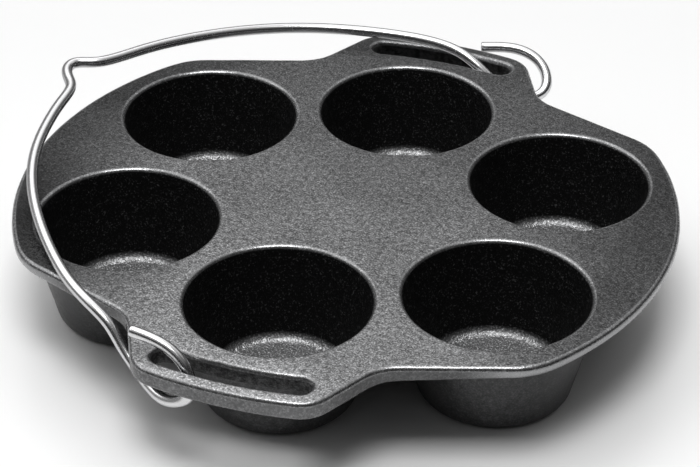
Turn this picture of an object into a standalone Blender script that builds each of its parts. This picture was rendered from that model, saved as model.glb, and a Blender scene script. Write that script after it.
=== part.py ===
"""A cast iron muffin pan. Six tapered cups hang from a round plate with a slotted ear at each end,
and a bent wire bail is hooked loosely through the two slots. The plate's top face is z = 0, the ears
lie on the Y axis and the bail leans towards -X, just clear of the plate."""
import math

import bmesh
import bpy
from mathutils import Matrix, Vector

MM = 0.001

# Plate, in millimetres
PLATE_RADIUS = 145.5
PLATE_THICKNESS = 5.3
EDGE_ROUND = 2.2
UNDER_ROUND = (1.6, 2.4)
CORNER_ANGLE = 38.7
CORNER_ROUND = 30.0

# Ears: slanted sides running out to a shallow arc, thicker than the plate.
# EAR_RAMP is where the thickness changes below, in from the ear's outer edge.
EAR_OVERHANG = 2.5
EAR_LENGTH = 36.4
EAR_ROOT_WIDTH = 110.0
EAR_TIP_WIDTH = 78.2
EAR_TIP_DROP = 4.3
EAR_ARC_RADIUS = 180.0
EAR_THICKNESS = 8.5
EAR_RAMP = (58.0, 29.0)
NECK_ROUND = 20.0
EAR_CORNER_ROUND = 15.0

# Slots follow the ear's outer arc. SLOT_PLAY is how much wider they are than the bail's wire.
BAR_WIDTH = 7.4
SLOT_PLAY = 5.2
SLOT_LENGTH = 68.4

# Cups: the mouth radius is that of the wall just under the rounded rim, and the lands are the
# plate left between a mouth and the slot or the plate's edge
CUP_MOUTH_RADIUS = 39.2
CUP_SLOT_LAND = 10.0
CUP_EDGE_LAND = 10.9
CUP_SIDE_ANGLE = 29.0
CUP_WALL = 4.6
CUP_TAPER = 14.0
CUP_DEPTH = 41.5
CUP_BASE = 5.5
CUP_RIM_ROUND = 2.2
CUP_FLOOR_ROUND = 5.0
CUP_FOOT_ROUND = 5.0
CUP_ROOT_ROUND = 1.6

# Bail wire and its hinge line, which is skewed because the bail hangs skewed. From its centre the
# line goes HINGE_SHIFT to the side and HINGE_LIFT up before it crosses the far ear's bar. The arch
# crosses the plate's edge at BAIL_REST, with BAIL_GAP between the wire and the top face.
WIRE_DIAMETER = 5.0
HINGE_CENTRE = (-19.0, 0.0, -0.8)
HINGE_SHIFT = 24.15
HINGE_LIFT = 2.81
BAIL_REST = (-111.0, 50.5)
BAIL_GAP = 0.15

# Bail stations, each (along the hinge line, out along the arch, above the arch's plane). The hooks'
# start from the middle of an ear's bar. They are drawn for a bar at DRAWN_SPAN from the pan's
# centre, for a bar and an ear that measure DRAWN_BAR and DRAWN_EAR with the wire added, and for
# a bar and a slot that measure DRAWN_SLOT together.
DRAWN_SPAN = 144.3
DRAWN_BAR = 12.4
DRAWN_SLOT = 17.6
DRAWN_EAR = 13.5
NEAR_HOOK = [
    (10.0, 3.5, 11.0), (11.5, -11.0, 11.0), (11.0, -21.0, 6.5), (10.0, -26.5, -1.0), (9.5, -27.0, -8.5),
    (8.5, -21.5, -14.0), (9.5, -13.0, -17.5), (14.5, -3.5, -18.0), (19.5, 7.0, -15.5),
    (22.0, 15.5, -10.5), (24.0, 22.5, -3.5),
]
ARCH = [
    (-118.5, 34.0), (-111.5, 49.5), (-98.5, 67.5), (-82.0, 86.0), (-63.5, 102.0), (-44.0, 113.5),
    (-24.5, 120.5), (-8.0, 125.0), (6.0, 127.0), (11.0, 134.0), (17.0, 139.0), (24.0, 138.5),
    (28.0, 130.0), (38.5, 124.0), (56.0, 117.0), (78.0, 103.0), (97.5, 86.5), (114.0, 67.5),
    (126.5, 47.5),
]
FAR_HOOK = [
    (-10.0, 27.5, 1.0), (-6.5, 9.5, 2.5), (-6.0, -5.0, 2.5), (-7.5, -16.5, -1.5), (-7.5, -26.5, -7.9),
    (-3.5, -36.5, -12.6), (2.0, -44.0, -12.8), (8.5, -46.0, -10.0), (14.5, -42.0, -5.5),
    (18.0, -34.0, -1.5), (17.0, -22.5, 0.0), (11.0, -8.0, -3.0),
]

# Facets
RIM_STEPS = 10
EAR_STEPS = 7
CORNER_STEPS = 5
NECK_STEPS = 7
EAR_CORNER_STEPS = 7
SLOT_STEPS = 8
SLOT_END_STEPS = 8
CUP_SEGMENTS = 36
CUP_FLOOR_STEPS = 4
CUP_FOOT_STEPS = 3
WIRE_QUARTER_STEPS = 2
SPANS_PER_STATION = 3
EDGE_DEGREES = (0, 45, 90)
UNDER_DEGREES = (0, 30, 60, 90)
CUP_RIM_DEGREES = (20, 45, 70, 90)

# An arc stops this share of a corner's radius before that corner
RIM_ARC_STOP = 0.36
EAR_ARC_STOP = 0.6
# Cutters stand this far past what they cut, and the cups' walls start this far inside the plate.
# The rounds under the plate run on by UNDER_LAP below the relief's cut, which trims them.
OVERSHOOT = 1.0
UNDER_LAP = 0.1
CUP_MOUTH_LIFT = 0.25
CUP_ROOT_DEPTH = 2.0
CUP_ROOT_LAP = 0.2
# The root fillet's middle, as a share of its radius below the plate, and the wire's weld distance
CUP_ROOT_MIDDLE = 0.6
WELD = 0.01

OBJECT_NAME = "muffin_pan"

SLOT_WIDTH = WIRE_DIAMETER + SLOT_PLAY
EAR_REACH = PLATE_RADIUS + EAR_OVERHANG
EAR_NECK = (EAR_ROOT_WIDTH / 2, EAR_REACH - EAR_LENGTH)
EAR_CORNER = (EAR_TIP_WIDTH / 2, EAR_REACH - EAR_TIP_DROP)
BAR_Y = EAR_REACH - BAR_WIDTH / 2
CUP_END_Y = EAR_REACH - BAR_WIDTH - SLOT_WIDTH - CUP_SLOT_LAND - CUP_MOUTH_RADIUS
CUP_SIDE_REACH = PLATE_RADIUS - CUP_EDGE_LAND - CUP_MOUTH_RADIUS


def clear_scene():
    for obj in list(bpy.data.objects):
        bpy.data.objects.remove(obj, do_unlink=True)


def new_collection(name):
    group = bpy.data.collections.new(name)
    bpy.context.scene.collection.children.link(group)
    return group


def new_material(name, colour, metallic, roughness):
    mat = bpy.data.materials.new(name)
    mat.use_nodes = True
    shader = mat.node_tree.nodes["Principled BSDF"]
    shader.inputs["Base Color"].default_value = (*colour, 1.0)
    shader.inputs["Metallic"].default_value = metallic
    shader.inputs["Roughness"].default_value = roughness
    return mat


def new_object(name, bm, group):
    """Scales the mesh from millimetres to metres and links it as an object."""
    bmesh.ops.recalc_face_normals(bm, faces=bm.faces)
    bmesh.ops.scale(bm, vec=(MM, MM, MM), verts=bm.verts)
    mesh = bpy.data.meshes.new(name)
    bm.to_mesh(mesh)
    bm.free()
    obj = bpy.data.objects.new(name, mesh)
    group.objects.link(obj)
    return obj


def polar(radius, angle):
    return Vector((radius * math.cos(angle), radius * math.sin(angle)))


def fillet(before, corner, after, radius, steps):
    """Points of the arc that rounds one corner of a flat outline."""
    a = (Vector(before) - Vector(corner)).normalized()
    b = (Vector(after) - Vector(corner)).normalized()
    half = a.angle(b) / 2
    centre = Vector(corner) + (a + b).normalized() * radius / math.sin(half)
    start = Vector(corner) + a * radius / math.tan(half) - centre
    end = Vector(corner) + b * radius / math.tan(half) - centre
    turn = start.angle_signed(end)
    return [centre + Matrix.Rotation(-turn * k / steps, 2) @ start for k in range(steps + 1)]


def ear_arc_y(x):
    return EAR_REACH - EAR_ARC_RADIUS + math.sqrt(EAR_ARC_RADIUS ** 2 - x ** 2)


def ear_outline():
    """The right half of an ear, from its neck to the middle of its outer arc."""
    start = EAR_CORNER[0] - EAR_ARC_STOP * EAR_CORNER_ROUND
    across = [start * (1 - k / EAR_STEPS) for k in range(EAR_STEPS)]
    arc = [Vector((x, ear_arc_y(x))) for x in across]
    return fillet(EAR_NECK, EAR_CORNER, arc[0], EAR_CORNER_ROUND, EAR_CORNER_STEPS) + arc


def plate_quarter():
    """The outline from the +X side to the middle of the +Y ear."""
    angle = math.radians(CORNER_ANGLE)
    corner = polar(PLATE_RADIUS, angle)
    arc_end = angle - RIM_ARC_STOP * CORNER_ROUND / PLATE_RADIUS
    arc = [polar(PLATE_RADIUS, arc_end * k / RIM_STEPS) for k in range(RIM_STEPS)]
    points = arc + fillet(arc[-1], corner, EAR_NECK, CORNER_ROUND, CORNER_STEPS)
    points += fillet(corner, EAR_NECK, EAR_CORNER, NECK_ROUND, NECK_STEPS)
    return points + ear_outline()


def mirror_round(quarter):
    """Closes a quarter outline by mirroring it in X and Y."""
    top = Vector((0.0, EAR_REACH))
    half = quarter + [top] + [Vector((-p.x, p.y)) for p in reversed(quarter)]
    return half + [Vector((p.x, -p.y)) for p in reversed(half)][1:-1]


def slot_outline(side):
    """One slot: two arcs about the ear arc's centre, joined by half circles."""
    half = SLOT_WIDTH / 2
    middle = EAR_ARC_RADIUS - BAR_WIDTH - half
    swing = math.asin((SLOT_LENGTH / 2 - half) / middle)
    centre = Vector((0.0, EAR_REACH - EAR_ARC_RADIUS))
    points = []
    for sign in (1, -1):
        start = math.pi / 2 + sign * swing
        end = math.pi / 2 - sign * swing
        radius = middle + sign * half
        points += [centre + polar(radius, start + (end - start) * k / SLOT_STEPS)
                   for k in range(SLOT_STEPS + 1)]
        tip = centre + polar(middle, end)
        from_tip = end if sign > 0 else end + math.pi
        points += [tip + polar(half, from_tip - math.pi * k / SLOT_END_STEPS)
                   for k in range(1, SLOT_END_STEPS)]
    return [Vector((p.x, side * p.y)) for p in points]


def offset(loop, distance):
    """Moves a closed loop's points sideways, to the left of its direction of travel."""
    moved = []
    for k, point in enumerate(loop):
        along = (loop[(k + 1) % len(loop)] - loop[k - 1]).normalized()
        moved.append(point + Vector((-along.y, along.x)) * distance)
    return moved


def signed_area(loop):
    return sum(a.cross(b) for a, b in zip(loop, loop[1:] + loop[:1])) / 2


def join_rings(bm, upper, lower):
    """Faces between two rings of vertices, three-sided where a ring is one repeated vertex."""
    for k, corner in enumerate(upper):
        n = (k + 1) % len(upper)
        bm.faces.new(tuple(dict.fromkeys((corner, upper[n], lower[n], lower[k]))))


def plate_depth(y):
    """The plate's thickness, which grows in a straight ramp to that of the ears."""
    inner, outer = (EAR_REACH - inset for inset in EAR_RAMP)
    share = min(max((abs(y) - inner) / (outer - inner), 0.0), 1.0)
    return PLATE_THICKNESS + share * (EAR_THICKNESS - PLATE_THICKNESS)


def slab(name, outer, holes, levels, group):
    """A solid from one outer loop and its holes. Each level, top to bottom, is (inset, height,
    follow): its height is lowered by the plate's thickness where follow is 1."""
    bm = bmesh.new()
    loops = [outer if signed_area(outer) > 0 else outer[::-1]]
    loops += [hole if signed_area(hole) < 0 else hole[::-1] for hole in holes]
    caps = ([], [])
    for loop in loops:
        rings = [[bm.verts.new((p.x, p.y, height - follow * plate_depth(p.y)))
                  for p in offset(loop, inset)] for inset, height, follow in levels]
        for upper, lower in zip(rings, rings[1:]):
            join_rings(bm, upper, lower)
        for cap, ring in zip(caps, (rings[0], rings[-1])):
            cap.extend(bm.edges.get((a, b)) for a, b in zip(ring, ring[1:] + ring[:1]))
    for cap in caps:
        bmesh.ops.triangle_fill(bm, use_beauty=True, edges=cap)
    return new_object(name, bm, group)


def plate_levels():
    """A small round on the upper edge and a deeper, oval one on the lower, then a flat foot that
    the relief takes off."""
    levels = []
    for degrees in EDGE_DEGREES:
        a = math.radians(degrees)
        levels.append((EDGE_ROUND * (1 - math.sin(a)), -EDGE_ROUND * (1 - math.cos(a)), 0))
    across, down = UNDER_ROUND
    for degrees in UNDER_DEGREES:
        a = math.radians(degrees)
        levels.append((across * (1 - math.cos(a)), down * (1 - math.sin(a)) - UNDER_LAP, 1))
    return levels + [(across, -EAR_THICKNESS - OVERSHOOT, 0)]


def make_plate(group):
    """The plate with both slots, still with a foot below its underside."""
    holes = [slot_outline(1), slot_outline(-1)]
    return slab("pan_casting", mirror_round(plate_quarter()), holes, plate_levels(), group)


def make_relief(group):
    """What is taken off below the plate, the two ramps and the ears."""
    end = EAR_REACH + OVERSHOOT
    inner, outer = (EAR_REACH - inset for inset in EAR_RAMP)
    floor = -EAR_THICKNESS - 2 * OVERSHOOT
    bends = (-end, -outer, -inner, inner, outer, end)
    section = [(y, -plate_depth(y)) for y in bends] + [(end, floor), (-end, floor)]
    bm = bmesh.new()
    rings = [[bm.verts.new((x, y, z)) for y, z in section] for x in (-end, end)]
    for ring in rings:
        bm.faces.new(ring)
    join_rings(bm, *rings)
    return new_object("plate_relief", bm, group)


def cup_places():
    places = [Vector((0.0, side * CUP_END_Y, 0.0)) for side in (1, -1)]
    for turn in (0, 180):
        for angle in (CUP_SIDE_ANGLE, -CUP_SIDE_ANGLE):
            places.append(polar(CUP_SIDE_REACH, math.radians(turn + angle)).to_3d())
    return places


def lathe(name, profile, group):
    """Turns a profile from axis to axis about each cup's centre line."""
    bm = bmesh.new()
    turns = [2 * math.pi * k / CUP_SEGMENTS for k in range(CUP_SEGMENTS)]
    for place in cup_places():
        rings = []
        for radius, z in profile:
            level = place + Vector((0.0, 0.0, z))
            if radius == 0.0:
                rings.append([bm.verts.new(level)] * CUP_SEGMENTS)
            else:
                rings.append([bm.verts.new(level + polar(radius, a).to_3d()) for a in turns])
        for upper, lower in zip(rings, rings[1:]):
            join_rings(bm, upper, lower)
    return new_object(name, bm, group)


def wall_radius(start, z):
    """Radius of a tapered cup wall that has the start radius at the plate's top face."""
    return start + z * math.tan(math.radians(CUP_TAPER))


def corner_arc(start, floor, radius, steps):
    """Rounds the corner between a tapered wall and a flat floor, from the wall inwards."""
    taper = math.radians(CUP_TAPER)
    reach = radius * math.tan((math.pi / 2 - taper) / 2)
    centre = Vector((wall_radius(start, floor) - reach, floor + radius))
    return [tuple(centre + polar(radius, -taper - (math.pi / 2 - taper) * k / steps))
            for k in range(steps + 1)]


def cup_outside(group):
    """The cup's wall and foot. A small fillet joins it to the plate, where it starts inside."""
    outer = CUP_MOUTH_RADIUS + CUP_WALL / math.cos(math.radians(CUP_TAPER))
    root = -PLATE_THICKNESS
    neck = root - 2 * CUP_ROOT_ROUND
    root_radius = wall_radius(outer, root)
    flare = root_radius + CUP_ROOT_ROUND
    profile = [(0.0, -CUP_ROOT_DEPTH), (flare, -CUP_ROOT_DEPTH), (flare, root + CUP_ROOT_LAP),
               (root_radius + CUP_ROOT_LAP, root - CUP_ROOT_MIDDLE * CUP_ROOT_ROUND),
               (wall_radius(outer, neck), neck)]
    profile += corner_arc(outer, -CUP_DEPTH - CUP_BASE, CUP_FOOT_ROUND, CUP_FOOT_STEPS)
    profile.append((0.0, -CUP_DEPTH - CUP_BASE))
    return lathe("cup_outside", profile, group)


def cup_inside(group):
    """The cutter of one cup's hollow, flared at its top to round the rim."""
    flare = CUP_MOUTH_RADIUS + CUP_RIM_ROUND + 2 * CUP_MOUTH_LIFT
    profile = [(0.0, CUP_MOUTH_LIFT), (flare, CUP_MOUTH_LIFT)]
    for degrees in CUP_RIM_DEGREES:
        a = math.radians(degrees)
        profile.append((CUP_MOUTH_RADIUS + CUP_RIM_ROUND * (1 - math.sin(a)),
                        CUP_RIM_ROUND * (math.cos(a) - 1)))
    profile += corner_arc(CUP_MOUTH_RADIUS, -CUP_DEPTH, CUP_FLOOR_ROUND, CUP_FLOOR_STEPS)
    profile.append((0.0, -CUP_DEPTH))
    return lathe("cup_inside", profile, group)


def add_boolean(obj, other, operation):
    mod = obj.modifiers.new(other.name, "BOOLEAN")
    mod.operation = operation
    mod.solver = "EXACT"
    mod.object = other


def make_casting(group, cutters, iron):
    casting = make_plate(group)
    add_boolean(casting, make_relief(cutters), "DIFFERENCE")
    add_boolean(casting, cup_outside(cutters), "UNION")
    add_boolean(casting, cup_inside(cutters), "DIFFERENCE")
    for cutter in cutters.objects:
        cutter.hide_render = True
        cutter.display_type = "WIRE"
    casting.data.materials.append(iron)
    casting.data.shade_smooth()


def bail_lean(hinge_line):
    """How far the arch tips up from the plate, so that its wire clears the plate's edge."""
    along, out = (value * BAR_Y / DRAWN_SPAN for value in BAIL_REST)
    rise = math.asin(hinge_line.z)
    height = WIRE_DIAMETER / 2 + BAIL_GAP - HINGE_CENTRE[2] - along * math.sin(rise)
    return math.asin(height / (out * math.cos(rise)))


def hinge_matrix():
    """Origin on the hinge line, X along it, Y out along the leaning arch, Z above the arch."""
    along = Vector((HINGE_SHIFT, BAR_Y, HINGE_LIFT)).normalized()
    lean = bail_lean(along)
    level = Vector((0.0, 0.0, 1.0)).cross(along).normalized()
    out = level * math.cos(lean) + along.cross(level) * math.sin(lean)
    frame = Matrix((along, out, along.cross(out))).transposed().to_4x4()
    return Matrix.Translation(Vector(HINGE_CENTRE) * MM) @ frame


def hook_stations(stations, side):
    """A hook through one slot. It keeps to the slot's middle and clears the bar and the ear."""
    inward = (BAR_WIDTH + SLOT_WIDTH) / DRAWN_SLOT
    outward = (BAR_WIDTH + WIRE_DIAMETER) / DRAWN_BAR
    above = (EAR_THICKNESS + WIRE_DIAMETER) / DRAWN_EAR
    return [Vector((side * BAR_Y + s * (outward if s * side > 0 else inward), w, n * above))
            for s, w, n in stations]


def arch_stations():
    scale = BAR_Y / DRAWN_SPAN
    return [Vector((s * scale, w * scale, 0.0)) for s, w in ARCH]


def smooth_path(stations):
    """A cubic B-spline steered by the stations, ending on the first and the last of them."""
    first = stations[0] * 2 - stations[1]
    last = stations[-1] * 2 - stations[-2]
    steer = [first] + stations + [last]
    points = []
    for p, q, r, s in zip(steer, steer[1:], steer[2:], steer[3:]):
        for k in range(SPANS_PER_STATION):
            t = k / SPANS_PER_STATION
            points.append((p * (1 - t) ** 3 + q * (3 * t ** 3 - 6 * t ** 2 + 4)
                           + r * (-3 * t ** 3 + 3 * t ** 2 + 3 * t + 1) + s * t ** 3) / 6)
    return points + [stations[-1]]


def wire_mesh(name, path, group):
    """A round wire with closed ends along a path."""
    curve = bpy.data.curves.new(name, "CURVE")
    curve.dimensions = "3D"
    curve.bevel_depth = WIRE_DIAMETER / 2 * MM
    curve.bevel_resolution = WIRE_QUARTER_STEPS
    curve.use_fill_caps = True
    spline = curve.splines.new("POLY")
    spline.points.add(len(path) - 1)
    for point, place in zip(spline.points, path):
        point.co = (*(place * MM), 1.0)
    wire = bpy.data.objects.new(name, curve)
    group.objects.link(wire)
    bpy.context.view_layer.update()
    mesh = bpy.data.meshes.new_from_object(wire)
    bpy.data.objects.remove(wire, do_unlink=True)
    bm = bmesh.new()
    bm.from_mesh(mesh)
    bmesh.ops.remove_doubles(bm, verts=bm.verts, dist=WELD * MM)
    bm.to_mesh(mesh)
    bm.free()
    return mesh


def make_bail(group, steel):
    hinge = bpy.data.objects.new("bail_hinge", None)
    group.objects.link(hinge)
    hinge.matrix_world = hinge_matrix()
    stations = hook_stations(NEAR_HOOK, -1) + arch_stations() + hook_stations(FAR_HOOK, 1)
    mesh = wire_mesh("bail_wire", smooth_path(stations), group)
    mesh.materials.clear()
    mesh.materials.append(steel)
    mesh.shade_smooth()
    bail = bpy.data.objects.new("bail_handle", mesh)
    group.objects.link(bail)
    bail.parent = hinge


def build():
    clear_scene()
    group = new_collection(OBJECT_NAME)
    cutters = new_collection("cutters")
    iron = new_material("cast_iron", (0.045, 0.045, 0.047), 0.6, 0.55)
    steel = new_material("steel_wire", (0.62, 0.62, 0.63), 1.0, 0.24)
    make_casting(group, cutters, iron)
    make_bail(group, steel)


build()
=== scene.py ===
"""The muffin pan as it looks in its photograph: a sand-cast iron plate with six tapered cups and
two slotted ears, and a bent steel wire bail. The casting and the wire replace their CAD nodes with
the same shapes in finer meshes. Sizes are in millimetres until a mesh is made."""
import math

import bpy
import numpy as np
from mathutils import Matrix, Vector, noise
from mathutils.geometry import delaunay_2d_cdt


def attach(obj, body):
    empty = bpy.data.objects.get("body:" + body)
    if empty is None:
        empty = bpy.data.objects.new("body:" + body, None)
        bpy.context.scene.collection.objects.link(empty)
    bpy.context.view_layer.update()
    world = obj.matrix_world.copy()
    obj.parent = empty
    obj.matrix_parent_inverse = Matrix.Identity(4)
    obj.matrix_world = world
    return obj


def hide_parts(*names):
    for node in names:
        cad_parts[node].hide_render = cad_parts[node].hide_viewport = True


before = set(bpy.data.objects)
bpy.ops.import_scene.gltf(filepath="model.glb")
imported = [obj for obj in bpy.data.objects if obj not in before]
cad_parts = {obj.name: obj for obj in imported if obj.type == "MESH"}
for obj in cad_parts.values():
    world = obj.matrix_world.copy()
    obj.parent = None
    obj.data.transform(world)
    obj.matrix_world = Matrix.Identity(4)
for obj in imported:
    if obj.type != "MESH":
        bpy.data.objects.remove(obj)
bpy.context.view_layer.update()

MM = 0.001

# Plate. The round under its edge has one size across and another one down.
PLATE_RADIUS = 145.5
PLATE_THICKNESS = 5.3
EDGE_ROUND = 2.2
UNDER_ROUND = (1.6, 2.4)
CORNER_ANGLE = 38.7
CORNER_ROUND = 30.0

# Ears: slanted sides running out to a shallow arc, thicker than the plate.
# EAR_RAMP is where the thickness changes below, in from the ear's outer edge.
EAR_OVERHANG = 2.5
EAR_LENGTH = 36.4
EAR_ROOT_WIDTH = 110.0
EAR_TIP_WIDTH = 78.2
EAR_TIP_DROP = 4.3
EAR_ARC_RADIUS = 180.0
EAR_THICKNESS = 8.5
EAR_RAMP = (58.0, 29.0)
NECK_ROUND = 20.0
EAR_CORNER_ROUND = 15.0

# Slots follow the ear's outer arc, inside a bar. SLOT_PLAY is how much wider they are than the
# bail's wire.
BAR_WIDTH = 7.4
SLOT_PLAY = 5.2
SLOT_LENGTH = 68.4

# Cups: the mouth radius is that of the wall just under the rounded rim, CUP_RADIUS is that of its
# line at the top face, and the lands are the plate left between a mouth and the slot or the plate's
# edge
CUP_MOUTH_RADIUS = 39.2
CUP_RADIUS = 39.65
CUP_SLOT_LAND = 10.0
CUP_EDGE_LAND = 10.9
CUP_SIDE_ANGLE = 29.0
CUP_WALL = 4.2
CUP_TAPER = math.radians(14.0)
CUP_DEPTH = 41.5
CUP_BASE = 5.5
CUP_FLOOR_ROUND = 5.0
CUP_FOOT_ROUND = 5.0
CUP_ROOT_ROUND = 2.0

# Bail wire and its hinge line, which is skewed because the bail hangs skewed. From its centre the
# line goes HINGE_SHIFT to the side and HINGE_LIFT up before it crosses the far ear's bar. The arch
# crosses the plate's edge at BAIL_REST, with BAIL_GAP between the wire and the top face.
# WIRE_RADIUS keeps the round wire inside its CAD solid.
WIRE_DIAMETER = 5.0
WIRE_RADIUS = 2.46
WIRE_CHAMFER = 0.35
HINGE_CENTRE = (-19.0, 0.0, -0.8)
HINGE_SHIFT = 24.15
HINGE_LIFT = 2.81
BAIL_REST = (-111.0, 50.5)
BAIL_GAP = 0.15

# Bail stations, each (along the hinge line, out along the arch, above the arch's plane). The hooks'
# start from the middle of an ear's bar, and the arch lies in its plane.
NEAR_HOOK = [
    (10.0, 3.5, 11.0), (11.5, -11.0, 11.0), (11.0, -21.0, 6.5), (10.0, -26.5, -1.0),
    (9.5, -27.0, -8.5), (8.5, -21.5, -14.0), (9.5, -13.0, -17.5), (14.5, -3.5, -18.0),
    (19.5, 7.0, -15.5), (22.0, 15.5, -10.5), (24.0, 22.5, -3.5),
]
ARCH = [
    (-118.5, 34.0), (-111.5, 49.5), (-98.5, 67.5), (-82.0, 86.0), (-63.5, 102.0), (-44.0, 113.5),
    (-24.5, 120.5), (-8.0, 125.0), (6.0, 127.0), (11.0, 134.0), (17.0, 139.0), (24.0, 138.5),
    (28.0, 130.0), (38.5, 124.0), (56.0, 117.0), (78.0, 103.0), (97.5, 86.5), (114.0, 67.5),
    (126.5, 47.5),
]
FAR_HOOK = [
    (-10.0, 27.5, 1.0), (-6.5, 9.5, 2.5), (-6.0, -5.0, 2.5), (-7.5, -16.5, -1.5),
    (-7.5, -26.5, -7.9), (-3.5, -36.5, -12.6), (2.0, -44.0, -12.8), (8.5, -46.0, -10.0),
    (14.5, -42.0, -5.5), (18.0, -34.0, -1.5), (17.0, -22.5, 0.0), (11.0, -8.0, -3.0),
]

# Places that follow from the sizes, and the turn of a round between a flat and a cup's wall
SLOT_WIDTH = WIRE_DIAMETER + SLOT_PLAY
EAR_REACH = PLATE_RADIUS + EAR_OVERHANG
EAR_NECK = (EAR_ROOT_WIDTH / 2, EAR_REACH - EAR_LENGTH)
EAR_CORNER = (EAR_TIP_WIDTH / 2, EAR_REACH - EAR_TIP_DROP)
BAR_Y = EAR_REACH - BAR_WIDTH / 2
CUP_END_Y = EAR_REACH - BAR_WIDTH - SLOT_WIDTH - CUP_SLOT_LAND - CUP_MOUTH_RADIUS
CUP_SIDE_REACH = PLATE_RADIUS - (CUP_EDGE_LAND + CUP_MOUTH_RADIUS)
WALL_SWEEP = math.pi / 2 - CUP_TAPER
STAND = -CUP_DEPTH - CUP_BASE

# Fineness of the meshes: distances between points, steps along each curve, and the radii of the
# rings on a cup's flat floor and foot
OUTLINE_STEP = 2.2
SLOT_STEP = 1.4
FILL_STEP = 3.4
RIM_STEPS = 60
CORNER_STEPS = 12
NECK_STEPS = 24
EAR_CORNER_STEPS = 16
EAR_STEPS = 40
SLOT_STEPS = 30
SLOT_END_STEPS = 16
EDGE_STEPS = 7
UNDER_STEPS = 6
CUP_POINTS = 108
CUP_WALL_STEPS = 15
CUP_FLOOR_STEPS = 7
CUP_FLOOR_RINGS = (22.0, 18.0, 14.0, 10.0, 6.0, 2.5)
CUP_ROOT_STEPS = 5
CUP_OUTSIDE_STEPS = 14
CUP_FOOT_STEPS = 7
CUP_FOOT_RINGS = (23.0, 15.0, 7.0)
WIRE_SIDES = 24
SPANS_PER_STATION = 10

# An arc stops this share of a corner's radius before that corner
RIM_ARC_STOP = 0.36
EAR_ARC_STOP = 0.6
# A cup's outside is a plain cone from this far below the ears' underside
CONE_DROP = 2.5
# The net on a flat: how far apart its rows are and how near it comes to a ring, both in steps, and
# the distance at which points weld
ROW_SPACING = 0.866
RING_CLEARANCE = 0.55
WELD = 1e-6

# How the finishes fade round a curve: powers, below 1 for a broad band and above 1 for a late one,
# and how worn a cup's floor fillet is
EDGE_FADE = 0.7
SIDE_FADE = 0.5
WALL_FADE = 2
FILLET_WEAR = 0.9

# Relief of the iron's skin: the width and depth of its swells and pits, the dimension, lacunarity
# and octaves of the swells' noise, and how much deeper the pits are on the slots' walls
SWELL_SIZE = 26.0
SWELL_NOISE = (1.0, 2.0, 2)
SWELL_DEPTH = 0.10
PIT_SIZE = 2.6
PIT_DEPTH = 0.05
SLOT_PITS = 3.5

# Iron: the sizes of its three textures
GRAIN_SIZE = 0.8
SAND_SIZE = 2.4
PATCH_SIZE = 34.0
# The parts of a texture's range that are spread out, from its dark end to its bright one
NARROW = (0.35, 0.65)
WIDE = (0.3, 0.7)
SPECK_SPAN = (0.52, 0.68)
GLINT_SPAN = (0.56, 0.70)
GLINT_PATCHES = (0.4, 0.6)
SLOT_SPAN = (0.4, 0.7)
# Tones of its finishes, and how much the specks add. A pair runs from dark to bright.
TOP_TONE = (0.09, 0.13)
TOP_CONTRAST = (0.60, 1.40)
TOP_SPECKS = 0.10
# The cups' walls are painted near black with shade, far darker than the top
WALL_PAINTED_SHADE = 0.008
# Painted highlights: lighter specks in the walls' colour that stand in for the sparkle of their
# sand
WALL_PAINTED_GLINTS = (0.0, 0.12)
WALL_GLINT_SHARE = (0.1, 1.0)
FLOOR_TONE = 0.16
FLOOR_SPECKS = 0.65
CAST_SIDE_TONE = (0.06, 0.11)
GROUND_SIDE_TONE = 0.35
# The slots' walls are painted with shade, far darker than the top
SLOT_PAINTED_SHADE = (0.004, 0.05)
UNDER_TONE = (0.04, 0.06)
EDGE_TONE = 0.24
EDGE_SPECKS = 0.25
# How far the sides, the slots' walls and the underside cover the top's tone
SIDE_COVER = 0.8
SLOT_COVER = 0.9
UNDER_COVER = 0.8
# How painted light and shade change the top's tone over the plate: along which measure, between
# which two places in metres, and from which factor to which. It has painted shade towards both
# sides and on one patch at the left, is painted a little brighter at the left, is painted dull at
# the far ear, and has a painted highlight at the near ear, most of all on its bar.
TOP_PAINTED_LIGHT = [
    ("across", (0.08, 0.125), (0.95, 0.41)),
    ("x", (-0.10, 0.10), (1.42, 1.22)),
    ("y", (-0.14, 0.14), (1.65, 0.45)),
    ("y", (-0.145, -0.115), (1.45, 1.0)),
    ("painted_shade", (0.02, 0.075), (0.22, 1.0)),
]
# Middle of the painted shade patch at the left, in metres
PAINTED_SHADE_CENTRE = (-0.115, -0.075, 0.0)
# The plate's side changes from cast to ground bare between these distances from the middle line,
# in metres
GROUND_FROM = (0.085, 0.105)
TOP_ROUGHNESS = (0.34, 0.48)
WALL_ROUGHNESS = 0.42
SLOT_ROUGHNESS = 0.6
WORN_ROUGHNESS = (0.22, 0.30)
# Metallic, and the bump's strength, on a plain surface and on a worn or smooth one
IRON_METALLIC = (0.6, 0.95)
IRON_BUMP = (1.0, 0.09)
IRON_BUMP_DEPTH = 0.0005
GRAIN_HEIGHT = 0.8
SAND_HEIGHT = 1.2
IRON_SPECULAR = 0.2
IRON_TINT = (0.99, 0.995, 1.01)

# Wire: streaks and bands, each (per metre along it, per turn round it, without effect), and scuffs.
# They change its tone, and the scuffs also make it duller.
STREAKS = (14.0, 30.0, 1.0)
BANDS = (7.0, 6.0, 1.0)
SCUFF_SIZE = 1.3
SCUFF_SPAN = (0.66, 0.80)
DULL_SPAN = (0.62, 0.8)
WIRE_TONE = (0.66, 0.82)
WIRE_BANDS = (-0.05, 0.05)
SCUFF_DEPTH = (0.0, 0.15)
WIRE_ROUGHNESS = (0.19, 0.28)
WIRE_BUMP = 0.12
WIRE_BUMP_DEPTH = 0.00005
WIRE_SPECULAR_TINT = (0.35, 0.35, 0.35, 1.0)
WIRE_TINT = (1.0, 1.0, 1.01)

# Table, just clear of the feet
TABLE_REACH = 5000.0
TABLE_GAP = 0.25
TABLE_HAZE_SIZE = 2.0
TABLE_ROUGHNESS = (0.285, 0.30)
TABLE_COLOUR = (0.95, 0.95, 0.95, 1.0)

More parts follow.
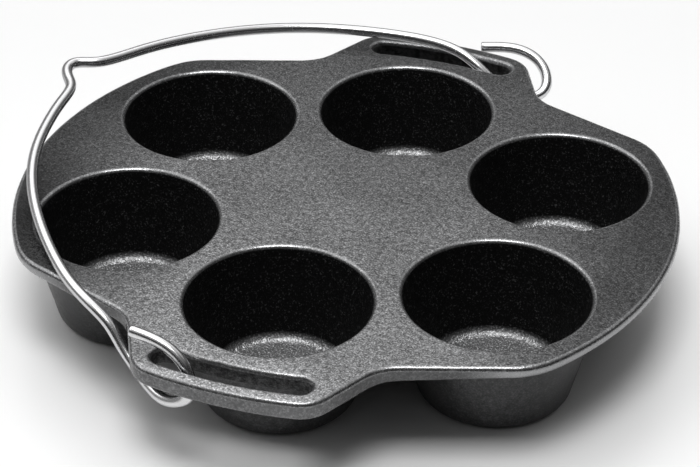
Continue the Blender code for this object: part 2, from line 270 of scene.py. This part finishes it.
# Room that the pan reflects. FRONT_X and FRONT_Y point towards its front. Each pair of pairs is a
# span of one part of the direction, and the levels or the factors at that span's two ends.
FRONT_X = 0.55
FRONT_Y = 0.83
WALL_FRONT = ((-0.35, 0.30), (1.0, 0.14))
WALL_HEIGHT = ((0.50, 0.62), (0.25, 2.0))
WALL_ACROSS = ((-0.45, 0.25), (1.25, 0.6))
CEILING = ((0.76, 0.97), (0.0, 0.8))
BACKDROP = 1.0

# Lamp. Its level is how white it lights a surface that faces it at the pan.
LAMP_PLACE = (150.0, -650.0, 2900.0)
LAMP_AIM = (0.0, 0.0, 0.0)
LAMP_SIZE = (1300.0, 1200.0)
LAMP_LEVEL = 0.50

# Camera. Its clip distances are in metres.
CAMERA_PLACE = (317.6, -870.1, 596.7)
CAMERA_AIM = (11.0, -25.2, 0.0)
CAMERA_ROLL = math.radians(0.07)
LENS = 129.6
SENSOR_WIDTH = 36.0
CLIP_START = 0.05
CLIP_END = 50.0


def polar(radius, angle):
    return np.array((radius * math.cos(angle), radius * math.sin(angle)))


def unit(v):
    return v / np.linalg.norm(v)


def fillet(before, corner, after, radius, steps):
    """Points of the arc that rounds one corner of a flat outline."""
    corner = np.array(corner)
    a = unit(np.array(before) - corner)
    b = unit(np.array(after) - corner)
    half = math.acos(float(np.dot(a, b))) / 2
    centre = corner + unit(a + b) * radius / math.sin(half)
    start = corner + a * radius / math.tan(half) - centre
    end = corner + b * radius / math.tan(half) - centre
    first = math.atan2(start[1], start[0])
    turn = (math.atan2(end[1], end[0]) - first + math.pi) % (2 * math.pi) - math.pi
    return [centre + polar(radius, first + turn * k / steps) for k in range(steps + 1)]


def resample(loop, step):
    """Evenly spaced points along a closed loop."""
    closed = np.vstack([loop, loop[:1]])
    length = np.concatenate([[0.0], np.cumsum(np.linalg.norm(np.diff(closed, axis=0), axis=1))])
    at = np.linspace(0.0, length[-1], int(round(length[-1] / step)), endpoint=False)
    return np.column_stack([np.interp(at, length, closed[:, k]) for k in range(2)])


def outline():
    """The plate's outline, counter-clockwise."""
    angle = math.radians(CORNER_ANGLE)
    corner = polar(PLATE_RADIUS, angle)
    arc_end = angle - RIM_ARC_STOP * CORNER_ROUND / PLATE_RADIUS
    quarter = [polar(PLATE_RADIUS, arc_end * k / RIM_STEPS) for k in range(RIM_STEPS)]
    quarter += fillet(quarter[-1], corner, EAR_NECK, CORNER_ROUND, CORNER_STEPS)
    quarter += fillet(corner, EAR_NECK, EAR_CORNER, NECK_ROUND, NECK_STEPS)
    start = EAR_CORNER[0] - EAR_ARC_STOP * EAR_CORNER_ROUND
    arc = [np.array((x, EAR_REACH - EAR_ARC_RADIUS + math.sqrt(EAR_ARC_RADIUS ** 2 - x ** 2)))
           for x in start * (1 - np.arange(EAR_STEPS) / EAR_STEPS)]
    quarter += fillet(EAR_NECK, EAR_CORNER, arc[0], EAR_CORNER_ROUND, EAR_CORNER_STEPS) + arc
    quarter = np.array(quarter)
    mirrored = quarter[::-1] * (-1, 1)
    half = np.vstack([quarter, [[0.0, EAR_REACH]], mirrored])
    return resample(np.vstack([half, half[::-1][1:-1] * (1, -1)]), OUTLINE_STEP)


def slot(side):
    """The outline of the far slot, or of the near one for a side of -1, clockwise: two arcs about
    the ear arc's centre and two half circles."""
    half = SLOT_WIDTH / 2
    middle = EAR_ARC_RADIUS - BAR_WIDTH - half
    swing = math.asin((SLOT_LENGTH / 2 - half) / middle)
    centre = np.array((0.0, EAR_REACH - EAR_ARC_RADIUS))
    points = []
    for sign in (1, -1):
        start = math.pi / 2 + sign * swing
        end = math.pi / 2 - sign * swing
        points += [centre + polar(middle + sign * half, start + (end - start) * k / SLOT_STEPS)
                   for k in range(SLOT_STEPS)]
        tip = centre + polar(middle, end)
        first = end if sign > 0 else end + math.pi
        points += [tip + polar(half, first - math.pi * k / SLOT_END_STEPS)
                   for k in range(SLOT_END_STEPS)]
    loop = resample(np.array(points), SLOT_STEP)
    return loop if side > 0 else loop[::-1] * (1, -1)


def circle(centre, radius):
    """A ring of points, clockwise, as a hole in the plate runs."""
    turns = -2 * math.pi * np.arange(CUP_POINTS) / CUP_POINTS
    return np.column_stack([centre[0] + radius * np.cos(turns), centre[1] + radius * np.sin(turns)])


def cup_centres():
    """One cup at each ear, and two on each side."""
    centres = [np.array((0.0, CUP_END_Y)), np.array((0.0, -CUP_END_Y))]
    for turn in (0.0, 180.0):
        for angle in (CUP_SIDE_ANGLE, -CUP_SIDE_ANGLE):
            centres.append(polar(CUP_SIDE_REACH, math.radians(turn + angle)))
    return centres


def offset(loop, distance):
    """Moves a loop's points to the left of its direction of travel."""
    along = np.roll(loop, -1, axis=0) - np.roll(loop, 1, axis=0)
    along /= np.linalg.norm(along, axis=1)[:, None]
    return loop + np.column_stack([-along[:, 1], along[:, 0]]) * distance


def thickness(y):
    """The plate's thickness, which rises along a ramp to that of the ears."""
    start, end = (EAR_REACH - distance for distance in EAR_RAMP)
    t = np.clip((np.abs(y) - start) / (end - start), 0.0, 1.0)
    return PLATE_THICKNESS + (EAR_THICKNESS - PLATE_THICKNESS) * t


def inside(points, loop):
    """Which points lie inside a closed loop. A level edge is never crossed, so the number that
    stands in for its zero rise doesn't matter."""
    x, y = points[:, 0][:, None], points[:, 1][:, None]
    a, b = loop, np.roll(loop, -1, axis=0)
    crosses = (a[:, 1] > y) != (b[:, 1] > y)
    rise = np.where(b[:, 1] == a[:, 1], 1.0, b[:, 1] - a[:, 1])
    left = x < (b[:, 0] - a[:, 0]) * (y - a[:, 1]) / rise + a[:, 0]
    return (crosses & left).sum(axis=1) % 2 == 1


def on_flat(points, loops):
    """Which points lie inside the first loop and outside the others."""
    keep = inside(points, loops[0])
    for loop in loops[1:]:
        keep &= ~inside(points, loop)
    return keep


def flat_net(loops):
    """An even net of points inside the first loop and outside the others, clear of them all."""
    span = np.arange(-PLATE_RADIUS, PLATE_RADIUS, FILL_STEP)
    rows = np.arange(-EAR_REACH, EAR_REACH, FILL_STEP * ROW_SPACING)
    net = np.array([(x + (r % 2) * FILL_STEP / 2, y) for r, y in enumerate(rows) for x in span])
    net = net[on_flat(net, loops)]
    edge = np.vstack(loops)
    nearest = np.array([np.min(np.hypot(*(edge - p).T)) for p in net])
    return net[nearest > RING_CLEARANCE * FILL_STEP]


class Shell:
    """Vertices with the share of each zone that they are in, and faces. A zone is a part of the
    casting with its own finish: a cup's wall, a cup's floor, a rounded edge, the plate's side, a
    slot's wall or the underside. The cups' walls and the slots' walls also carry painted shade."""
    ZONES = ("wall", "floor", "edge", "side", "slot", "under")

    def __init__(self):
        self.points = []
        self.zones = []
        self.faces = []

    def ring(self, loop, z, **zone):
        """Adds a loop's points at one height, or at one each, and returns their numbers."""
        z = np.broadcast_to(z, len(loop))
        first = len(self.points)
        self.points += [(float(p[0]), float(p[1]), float(h)) for p, h in zip(loop, z)]
        self.zones += [[zone.get(name, 0.0) for name in self.ZONES]] * len(loop)
        return list(range(first, first + len(loop)))

    def bridge(self, upper, lower):
        """Joins two rings of equally many points."""
        for k in range(len(upper)):
            n = (k + 1) % len(upper)
            self.faces.append((upper[k], lower[k], lower[n], upper[n]))

    def cap(self, rings, height, up, **zone):
        """Fills the flat between the first ring and the others with an even net of triangles that
        face up or down."""
        loops = [np.array([self.points[i][:2] for i in ring]) for ring in rings]
        net = flat_net(loops)
        order = [i for ring in rings for i in ring] + self.ring(net, height(net[:, 1]), **zone)
        borders = []
        start = 0
        for ring in rings:
            borders += [(start + k, start + (k + 1) % len(ring)) for k in range(len(ring))]
            start += len(ring)
        flat = [Vector(self.points[i][:2]) for i in order]
        _, _, faces, source, _, _ = delaunay_2d_cdt(flat, borders, [], 0, WELD)
        index = [order[s[0]] for s in source]
        faces = np.array([[index[i] for i in face] for face in faces])
        middle = np.array([np.mean([self.points[i][:2] for i in face], axis=0) for face in faces])
        for face in faces[on_flat(middle, loops)]:
            a, b, c = (np.array(self.points[i][:2]) for i in face)
            turn = (b[0] - a[0]) * (c[1] - a[1]) - (b[1] - a[1]) * (c[0] - a[0])
            self.faces.append(tuple(int(i) for i in (face if (turn > 0) == up else face[::-1])))


def wall_radius(start, z):
    return start + z * math.tan(CUP_TAPER)


def corner_arc(start, floor, radius, steps):
    """Rounds the corner between a tapered wall and a flat floor, from the wall inwards."""
    reach = radius * math.tan(WALL_SWEEP / 2)
    centre = np.array((wall_radius(start, floor) - reach, floor + radius))
    return [centre + polar(radius, -CUP_TAPER - WALL_SWEEP * k / steps) for k in range(steps + 1)]


def add_sides(shell, loop, slot_wall):
    """The rounded side of the plate or of a slot, from the top's flat to the underside's."""
    rings = []
    for degrees in np.linspace(0, 90, EDGE_STEPS + 1):
        a = math.radians(degrees)
        z = -EDGE_ROUND * (1 - math.cos(a))
        rings.append(shell.ring(offset(loop, EDGE_ROUND * (1 - math.sin(a))), z,
                                edge=math.sin(2 * a) ** EDGE_FADE if 0 < degrees < 90 else 0.0,
                                side=(1 - slot_wall) * math.sin(a), slot=slot_wall * math.sin(a)))
    across, down = UNDER_ROUND
    for degrees in np.linspace(0, 90, UNDER_STEPS + 1):
        a = math.radians(degrees)
        place = offset(loop, across * (1 - math.cos(a)))
        z = -thickness(loop[:, 1]) + down * (1 - math.sin(a))
        rings.append(shell.ring(place, z, side=(1 - slot_wall) * math.cos(a) ** SIDE_FADE,
                                under=1 - math.cos(a), slot=slot_wall))
    for upper, lower in zip(rings, rings[1:]):
        shell.bridge(upper, lower)
    return rings[0], rings[-1]


def add_hollow(shell, centre):
    """A cup's rim, wall, floor fillet and floor, seen from above."""
    rings = []
    lip = CUP_RADIUS + EDGE_ROUND * (1 / math.cos(CUP_TAPER) - math.tan(CUP_TAPER))
    for k in range(EDGE_STEPS + 1):
        a = WALL_SWEEP * k / EDGE_STEPS
        place = circle(centre, lip - EDGE_ROUND * math.sin(a))
        rings.append(shell.ring(place, -EDGE_ROUND * (1 - math.cos(a)),
                                edge=math.sin(math.pi * k / EDGE_STEPS),
                                wall=(k / EDGE_STEPS) ** WALL_FADE))
    top = shell.points[rings[-1][0]][2]
    arc = corner_arc(CUP_RADIUS, -CUP_DEPTH, CUP_FLOOR_ROUND, CUP_FLOOR_STEPS)
    for z in np.linspace(top, arc[0][1], CUP_WALL_STEPS + 1)[1:-1]:
        rings.append(shell.ring(circle(centre, wall_radius(CUP_RADIUS, z)), z, wall=1.0))
    for k, (radius, z) in enumerate(arc):
        share = k / CUP_FLOOR_STEPS
        rings.append(shell.ring(circle(centre, radius), z, wall=1 - share, floor=share,
                                edge=FILLET_WEAR * math.sin(math.pi * share ** WALL_FADE)))
    for radius in CUP_FLOOR_RINGS:
        rings.append(shell.ring(circle(centre, radius), -CUP_DEPTH, floor=1.0))
    for upper, lower in zip(rings, rings[1:]):
        shell.bridge(upper, lower)
    shell.faces.append(tuple(reversed(rings[-1])))
    return rings[0]


def add_outside(shell, centre):
    """A cup's outside, from its fillet under the plate to its flat base."""
    outer = CUP_RADIUS + CUP_WALL / math.cos(CUP_TAPER)
    turns = circle((0.0, 0.0), 1.0)
    root_depth = thickness(centre[1] + turns[:, 1] * (outer + CUP_ROOT_ROUND))
    reach = CUP_ROOT_ROUND * math.tan(WALL_SWEEP / 2)
    rings = []
    for k in range(CUP_ROOT_STEPS + 1):
        a = math.pi / 2 + WALL_SWEEP * k / CUP_ROOT_STEPS
        radius = wall_radius(outer, -root_depth) + reach + CUP_ROOT_ROUND * math.cos(a)
        z = -root_depth - CUP_ROOT_ROUND * (1 - math.sin(a))
        rings.append(shell.ring(centre + turns * radius[:, None], z, under=1.0))
    arc = corner_arc(outer, STAND, CUP_FOOT_ROUND, CUP_FOOT_STEPS)
    for z in np.linspace(-EAR_THICKNESS - CONE_DROP, arc[0][1], CUP_OUTSIDE_STEPS + 1)[:-1]:
        rings.append(shell.ring(circle(centre, wall_radius(outer, z)), z, under=1.0))
    for radius, z in arc:
        rings.append(shell.ring(circle(centre, radius), z, under=1.0))
    for radius in CUP_FOOT_RINGS:
        rings.append(shell.ring(circle(centre, radius), STAND, under=1.0))
    for upper, lower in zip(rings, rings[1:]):
        shell.bridge(lower, upper)
    shell.faces.append(tuple(rings[-1]))
    return rings[0]


def new_mesh(name, points, faces):
    """A smooth object from points in millimetres."""
    mesh = bpy.data.meshes.new(name)
    mesh.from_pydata([tuple(np.array(p) * MM) for p in points], [], faces)
    mesh.shade_smooth()
    obj = bpy.data.objects.new(name, mesh)
    bpy.context.scene.collection.objects.link(obj)
    return obj


def roughen(obj):
    """Moves the vertices inwards along their normals as sand casting does: broad swells and small
    pits. The pits are deeper on the slots' walls, where the sand core broke away."""
    mesh = obj.data
    slots = mesh.attributes["slot"].data
    moved = []
    for v in mesh.vertices:
        p = v.co / MM
        broad = (noise.fractal(p / SWELL_SIZE, *SWELL_NOISE) - 1.0) * SWELL_DEPTH
        fine = noise.noise(p / PIT_SIZE) * PIT_DEPTH * (1.0 + SLOT_PITS * slots[v.index].value)
        moved.append(v.co + v.normal * min(broad + fine, 0.0) * MM)
    mesh.vertices.foreach_set("co", np.array(moved, np.float32).ravel())
    mesh.update()


def make_casting(material):
    """The whole casting as one closed mesh."""
    shell = Shell()
    upper, lower = [], []
    for loop, slot_wall in ((outline(), 0.0), (slot(1), 1.0), (slot(-1), 1.0)):
        top, bottom = add_sides(shell, loop, slot_wall)
        upper.append(top)
        lower.append(bottom)
    for centre in cup_centres():
        upper.append(add_hollow(shell, centre))
        lower.append(add_outside(shell, centre))
    shell.cap(upper, lambda y: np.zeros(len(y)), True)
    shell.cap(lower, lambda y: -thickness(y), False, under=1.0)
    obj = new_mesh("pan_iron", shell.points, shell.faces)
    zones = np.array(shell.zones, np.float32)
    for k, name in enumerate(Shell.ZONES):
        layer = obj.data.attributes.new(name, "FLOAT", "POINT")
        layer.data.foreach_set("value", zones[:, k])
    roughen(obj)
    obj.data.materials.append(material)
    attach(obj, "pan")
    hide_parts("pan_casting")


def hinge_frame():
    """Origin on the hinge line, X along it, Y out along the leaning arch, Z above the arch."""
    along = Vector((HINGE_SHIFT, BAR_Y, HINGE_LIFT)).normalized()
    rise = math.asin(along.z)
    height = WIRE_DIAMETER / 2 + BAIL_GAP - HINGE_CENTRE[2] - BAIL_REST[0] * math.sin(rise)
    lean = math.asin(height / (BAIL_REST[1] * math.cos(rise)))
    level = Vector((0.0, 0.0, 1.0)).cross(along).normalized()
    out = level * math.cos(lean) + along.cross(level) * math.sin(lean)
    turn = Matrix((along, out, along.cross(out))).transposed().to_4x4()
    return Matrix.Translation(HINGE_CENTRE) @ turn


def bail_path():
    """The wire's centre line: a cubic B-spline steered by the stations."""
    stations = [(-BAR_Y + s, w, n) for s, w, n in NEAR_HOOK]
    stations += [(s, w, 0.0) for s, w in ARCH]
    stations += [(BAR_Y + s, w, n) for s, w, n in FAR_HOOK]
    steer = np.array(stations)
    steer = np.vstack([2 * steer[0] - steer[1], steer, 2 * steer[-1] - steer[-2]])
    points = []
    for p, q, r, s in zip(steer, steer[1:], steer[2:], steer[3:]):
        for t in np.arange(SPANS_PER_STATION) / SPANS_PER_STATION:
            points.append((p * (1 - t) ** 3 + q * (3 * t ** 3 - 6 * t ** 2 + 4)
                           + r * (-3 * t ** 3 + 3 * t ** 2 + 3 * t + 1) + s * t ** 3) / 6)
    points.append(steer[-2])
    place = hinge_frame()
    return [place @ Vector(p) for p in points]


def sweep(path, radii, side):
    """Rings of points round a path, the first point of the first one at its side, and how far
    along the path each point is."""
    points, lengths = [], []
    travelled = 0.0
    for k, place in enumerate(path):
        ahead = path[min(k + 1, len(path) - 1)] - path[max(k - 1, 0)]
        ahead.normalize()
        side = (side - ahead * side.dot(ahead)).normalized()
        other = ahead.cross(side)
        if k:
            travelled += (place - path[k - 1]).length
        for j in range(WIRE_SIDES):
            a = 2 * math.pi * j / WIRE_SIDES
            points.append(place + (side * math.cos(a) + other * math.sin(a)) * radii[k])
            lengths.append(travelled)
    return points, lengths


def tube_faces(rings):
    """The faces of a closed tube of rings."""
    faces = [tuple(reversed(range(WIRE_SIDES)))]
    for k in range(rings - 1):
        for j in range(WIRE_SIDES):
            n = (j + 1) % WIRE_SIDES
            a, b = k * WIRE_SIDES, (k + 1) * WIRE_SIDES
            faces.append((a + j, a + n, b + n, b + j))
    faces.append(tuple(range((rings - 1) * WIRE_SIDES, rings * WIRE_SIDES)))
    return faces


def unroll(mesh, lengths):
    """Gives the wire's faces texture places: metres along it, and turns round it."""
    layer = mesh.uv_layers.new(name="along")
    for face in mesh.polygons:
        round_it = [mesh.loops[i].vertex_index % WIRE_SIDES for i in face.loop_indices]
        wraps = max(round_it) - min(round_it) > WIRE_SIDES / 2
        for i, j in zip(face.loop_indices, round_it):
            v = (j + WIRE_SIDES if wraps and j == 0 else j) / WIRE_SIDES
            layer.data[i].uv = (lengths[mesh.loops[i].vertex_index] * MM, v)


def make_wire(material):
    """A swept round wire whose cut ends are slightly broken at the edge."""
    path = bail_path()
    first = (path[1] - path[0]).normalized()
    last = (path[-1] - path[-2]).normalized()
    after, before = path[0] + first * WIRE_CHAMFER, path[-1] - last * WIRE_CHAMFER
    path = [path[0], after] + path[1:-1] + [before, path[-1]]
    cut = WIRE_RADIUS - WIRE_CHAMFER
    radii = [cut] + [WIRE_RADIUS] * (len(path) - 2) + [cut]
    points, lengths = sweep(path, radii, first.orthogonal().normalized())
    obj = new_mesh("bail_wire", points, tube_faces(len(path)))
    unroll(obj.data, lengths)
    obj.data.materials.append(material)
    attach(obj, "bail")
    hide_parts("bail_handle")


class Nodes:
    """Short names for building a node tree."""

    def __init__(self, tree):
        self.tree = tree
        tree.nodes.clear()

    def add(self, kind, **settings):
        """A new node. A setting is a property of it, or else an input with _ for each space."""
        node = self.tree.nodes.new(kind)
        for key, value in settings.items():
            if key in node.bl_rna.properties:
                setattr(node, key, value)
            else:
                self.put(node, key.replace("_", " "), value)
        return node

    def put(self, node, key, value):
        if isinstance(value, bpy.types.NodeSocket):
            self.tree.links.new(value, node.inputs[key])
        else:
            node.inputs[key].default_value = value

    def maths(self, operation, a, b=0.0):
        node = self.add("ShaderNodeMath", operation=operation)
        self.put(node, 0, a)
        self.put(node, 1, b)
        return node.outputs[0]

    def plus(self, a, b):
        return self.maths("ADD", a, b)

    def times(self, a, b):
        return self.maths("MULTIPLY", a, b)

    def larger(self, a, b):
        return self.maths("MAXIMUM", a, b)

    def mix(self, factor, a, b):
        """Blends two numbers."""
        node = self.add("ShaderNodeMix")
        for key, value in ((0, factor), (2, a), (3, b)):
            self.put(node, key, value)
        return node.outputs[0]

    def remap(self, value, span, result):
        """Spreads a part of a value's range over another range, and holds it at the ends."""
        node = self.add("ShaderNodeMapRange")
        for key, number in enumerate((value, *span, *result)):
            self.put(node, key, number)
        return node.outputs[0]

    def scaled(self, tone, value, span, factors):
        """Multiplies a tone by factors that follow a value."""
        return self.times(tone, self.remap(value, span, factors))

    def place(self):
        """The point of the surface, in metres."""
        return self.add("ShaderNodeTexCoord").outputs["Object"]

    def noise(self, coords, size_mm, detail, roughness):
        return self.add("ShaderNodeTexNoise", Vector=coords, Scale=1 / (size_mm * MM),
                        Detail=detail, Roughness=roughness).outputs["Fac"]

    def grey(self, value, tint):
        node = self.add("ShaderNodeCombineColor")
        for key, share in zip(("Red", "Green", "Blue"), tint):
            self.put(node, key, self.times(value, share))
        return node.outputs[0]

    def surface(self, **settings):
        """A principled shader as the material's surface."""
        shader = self.add("ShaderNodeBsdfPrincipled", **settings)
        self.add("ShaderNodeOutputMaterial", Surface=shader.outputs[0])


def new_material(name):
    mat = bpy.data.materials.new(name)
    mat.use_nodes = True
    return mat


class Iron(Nodes):
    """Seasoned sand-cast iron: a fine sandy grain with brighter worn peaks. It is coarser on the
    cups' floors and worn bright on the edges and the ground side. The cups' walls have painted
    shade, near black with painted highlights in specks, the slots' walls have painted shade, and
    the top has painted light and shade over the plate."""

    def __init__(self, tree):
        super().__init__(tree)
        self.coords = self.place()
        zones = [self.add("ShaderNodeAttribute", attribute_name=name) for name in Shell.ZONES]
        self.wall, self.floor, self.edge, self.side, self.slot, self.under = (
            zone.outputs["Fac"] for zone in zones)
        self.grain = self.noise(self.coords, GRAIN_SIZE, detail=2.0, roughness=0.6)
        self.sand = self.noise(self.coords, SAND_SIZE, detail=3.0, roughness=0.6)
        self.patches = self.noise(self.coords, PATCH_SIZE, detail=3.0, roughness=0.5)
        self.speck = self.remap(self.grain, SPECK_SPAN, (0.0, 1.0))
        split = self.add("ShaderNodeSeparateXYZ", Vector=self.coords)
        self.x, self.y = split.outputs["X"], split.outputs["Y"]
        self.across = self.maths("ABSOLUTE", self.x)
        self.ground = self.remap(self.across, GROUND_FROM, (0.0, 1.0))

    def top_tone(self):
        tone = self.remap(self.patches, WIDE, TOP_TONE)
        tone = self.scaled(tone, self.sand, NARROW, TOP_CONTRAST)
        tone = self.scaled(tone, self.grain, NARROW, TOP_CONTRAST)
        tone = self.plus(tone, self.times(self.speck, TOP_SPECKS))
        # Painted light and shade over the top: a painted shade patch at the left, and the gradients
        # of the table above
        painted_shade = self.add("ShaderNodeVectorMath", operation="DISTANCE")
        self.put(painted_shade, 0, self.coords)
        self.put(painted_shade, 1, PAINTED_SHADE_CENTRE)
        measures = {"x": self.x, "y": self.y, "across": self.across, "painted_shade": painted_shade.outputs["Value"]}
        for measure, places, factors in TOP_PAINTED_LIGHT:
            tone = self.scaled(tone, measures[measure], places, factors)
        return tone

    def tone(self):
        """The top's tone, covered by that of each zone. The edges come last, over all the rest."""
        # Painted highlights on the cups' walls: lighter specks in their colour
        painted_glints = self.scaled(self.remap(self.grain, GLINT_SPAN, WALL_PAINTED_GLINTS), self.sand,
                             GLINT_PATCHES, WALL_GLINT_SHARE)
        cast_side = self.remap(self.patches, WIDE, CAST_SIDE_TONE)
        covers = [
            # Painted shade: the cups' walls near black, with painted highlights in specks
            (self.wall, self.plus(WALL_PAINTED_SHADE, painted_glints)),
            (self.floor, self.plus(FLOOR_TONE, self.times(self.speck, FLOOR_SPECKS))),
            (self.times(self.side, SIDE_COVER), self.mix(self.ground, cast_side, GROUND_SIDE_TONE)),
            # Painted shade: the slots' walls nearly black
            (self.times(self.slot, SLOT_COVER), self.remap(self.sand, SLOT_SPAN, SLOT_PAINTED_SHADE)),
            (self.times(self.under, UNDER_COVER), self.remap(self.sand, WIDE, UNDER_TONE)),
            (self.edge, self.plus(EDGE_TONE, self.times(self.speck, EDGE_SPECKS))),
        ]
        tone = self.top_tone()
        for share, cover in covers:
            tone = self.mix(share, tone, cover)
        return tone

    def roughness(self):
        rough = self.remap(self.sand, NARROW, TOP_ROUGHNESS)
        rough = self.mix(self.wall, rough, WALL_ROUGHNESS)
        rough = self.mix(self.slot, rough, SLOT_ROUGHNESS)
        return self.mix(self.larger(self.edge, self.side), rough,
                        self.remap(self.sand, NARROW, WORN_ROUGHNESS))

    def metallic(self):
        """Bare metal where the seasoning is worn or ground off."""
        return self.mix(self.larger(self.edge, self.times(self.side, self.ground)), *IRON_METALLIC)

    def bump(self):
        """The sandy relief, which is nearly gone on the sides, the underside and the worn edges,
        but not on the fillets of the cups' floors."""
        smooth = self.times(self.edge, self.maths("SUBTRACT", 1.0, self.floor))
        smooth = self.larger(smooth, self.larger(self.side, self.under))
        height = self.plus(self.times(self.grain, GRAIN_HEIGHT), self.times(self.sand, SAND_HEIGHT))
        return self.add("ShaderNodeBump", Strength=self.mix(smooth, *IRON_BUMP),
                        Distance=IRON_BUMP_DEPTH, Height=height).outputs[0]


def iron_material():
    mat = new_material("seasoned_iron")
    n = Iron(mat.node_tree)
    n.surface(Base_Color=n.grey(n.tone(), IRON_TINT), Roughness=n.roughness(),
              Metallic=n.metallic(), Normal=n.bump(), Specular_IOR_Level=IRON_SPECULAR)
    return mat


def wire_material():
    """Drawn steel wire: long fine streaks along its length, and a few dull scuffs."""
    mat = new_material("drawn_wire")
    n = Nodes(mat.node_tree)
    uv = n.add("ShaderNodeUVMap", uv_map="along").outputs[0]
    along = n.add("ShaderNodeMapping", Vector=uv, Scale=STREAKS).outputs[0]
    coarse = n.add("ShaderNodeMapping", Vector=uv, Scale=BANDS).outputs[0]
    streak = n.add("ShaderNodeTexNoise", Vector=along, Scale=1.0, Detail=3.0).outputs["Fac"]
    band = n.add("ShaderNodeTexNoise", Vector=coarse, Scale=1.0, Detail=2.0).outputs["Fac"]
    scuff = n.noise(n.place(), SCUFF_SIZE, detail=3.0, roughness=0.6)
    tone = n.plus(n.remap(streak, WIDE, WIRE_TONE), n.remap(band, WIDE, WIRE_BANDS))
    tone = n.maths("SUBTRACT", tone, n.remap(scuff, SCUFF_SPAN, SCUFF_DEPTH))
    rough = n.plus(n.remap(streak, WIDE, WIRE_ROUGHNESS), n.remap(scuff, DULL_SPAN, SCUFF_DEPTH))
    bump = n.add("ShaderNodeBump", Strength=WIRE_BUMP, Distance=WIRE_BUMP_DEPTH, Height=streak)
    n.surface(Base_Color=n.grey(tone, WIRE_TINT), Roughness=rough, Metallic=1.0,
              Normal=bump.outputs[0], Specular_Tint=WIRE_SPECULAR_TINT)
    return mat


def floor_material():
    """A white, faintly glossy table with a fine uneven sheen."""
    mat = new_material("pale_table")
    n = Nodes(mat.node_tree)
    haze = n.noise(n.place(), TABLE_HAZE_SIZE, detail=2.0, roughness=0.5)
    n.surface(Base_Color=TABLE_COLOUR, Roughness=n.remap(haze, WIDE, TABLE_ROUGHNESS))
    return mat


def make_floor():
    corners = [(-1, -1), (1, -1), (1, 1), (-1, 1)]
    points = [(x * TABLE_REACH, y * TABLE_REACH, STAND - TABLE_GAP) for x, y in corners]
    obj = new_mesh("table", points, [(0, 1, 2, 3)])
    obj.data.materials.append(floor_material())


def aim(obj, place, target, roll=0.0):
    """Points an object's -Z at a target."""
    direction = Vector(target) - Vector(place)
    turn = direction.to_track_quat("-Z", "Y").to_matrix().to_4x4()
    spot = Matrix.Translation(Vector(place) * MM)
    obj.matrix_world = spot @ turn @ Matrix.Rotation(roll, 4, "Z")


def make_lamp():
    """A rectangular softbox above the pan, a little in front of it."""
    lamp = bpy.data.lights.new("front_top", "AREA")
    lamp.shape = "RECTANGLE"
    lamp.size, lamp.size_y = (side * MM for side in LAMP_SIZE)
    distance = (Vector(LAMP_AIM) - Vector(LAMP_PLACE)).length * MM
    lamp.energy = math.pi ** 2 * LAMP_LEVEL * distance ** 2
    obj = bpy.data.objects.new("front_top", lamp)
    bpy.context.scene.collection.objects.link(obj)
    aim(obj, LAMP_PLACE, LAMP_AIM)


def make_world():
    """A white wall behind the pan that is brightest high up and to the left, a pale ceiling, and a
    dim room in front. The camera sees a plain white backdrop."""
    world = bpy.data.worlds.new("studio")
    bpy.context.scene.world = world
    world.use_nodes = True
    n = Nodes(world.node_tree)
    direction = n.add("ShaderNodeTexCoord").outputs["Generated"]
    split = n.add("ShaderNodeSeparateXYZ", Vector=direction)
    x, y, z = (split.outputs[name] for name in "XYZ")
    front = n.maths("SUBTRACT", n.times(x, FRONT_X), n.times(y, FRONT_Y))
    wall = n.remap(front, *WALL_FRONT)
    wall = n.scaled(wall, z, *WALL_HEIGHT)
    wall = n.scaled(wall, x, *WALL_ACROSS)
    room = n.larger(wall, n.remap(z, *CEILING))
    level = n.mix(n.add("ShaderNodeLightPath").outputs["Is Camera Ray"], room, BACKDROP)
    background = n.add("ShaderNodeBackground", Strength=level)
    n.add("ShaderNodeOutputWorld", Surface=background.outputs[0])


def make_camera():
    data = bpy.data.cameras.new("camera")
    data.lens = LENS
    data.sensor_width = SENSOR_WIDTH
    data.clip_start = CLIP_START
    data.clip_end = CLIP_END
    obj = bpy.data.objects.new("camera", data)
    bpy.context.scene.collection.objects.link(obj)
    aim(obj, CAMERA_PLACE, CAMERA_AIM, CAMERA_ROLL)
    bpy.context.scene.camera = obj


def make_scene():
    make_casting(iron_material())
    make_wire(wire_material())
    make_floor()
    make_world()
    make_camera()
    make_lamp()
    bpy.context.scene.view_settings.view_transform = "Standard"


make_scene()
